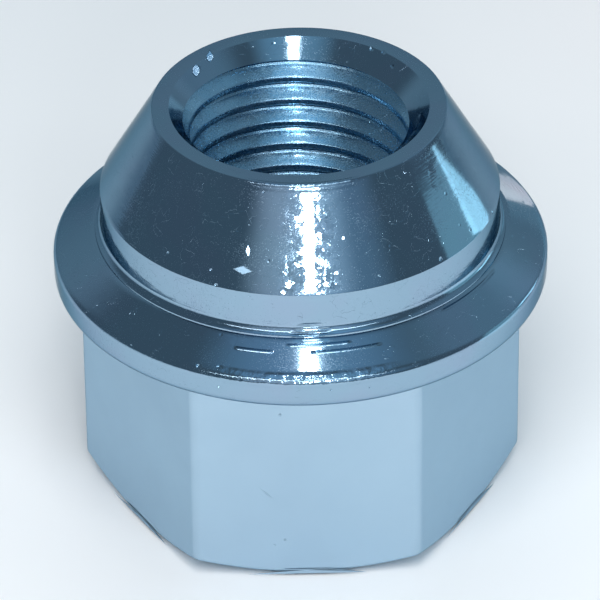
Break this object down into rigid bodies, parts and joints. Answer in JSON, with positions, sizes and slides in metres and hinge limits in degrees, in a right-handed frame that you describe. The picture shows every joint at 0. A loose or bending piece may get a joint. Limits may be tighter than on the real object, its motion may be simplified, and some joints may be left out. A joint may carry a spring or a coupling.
{
  "type": "lug nut",
  "caption": "Open-ended wheel nut with a cone seat, a fixed round collar and a chamfered wrench hex, bright zinc plated.",
  "frame": {"origin": "centre of the hex end face, the face that the nut stands on", "axes": "+Z along the thread, from the hex end to the cone seat; +Y square to one wrench flat; +X through a corner of the hex"},
  "size_m": [0.0282, 0.0282, 0.0249],
  "materials": {
    "zinc_plate": "bright blue zinc plate on forged steel"
  },
  "bodies": {
    "root": {"lug_nut": "zinc_plate"}
  },
  "joints": []
}
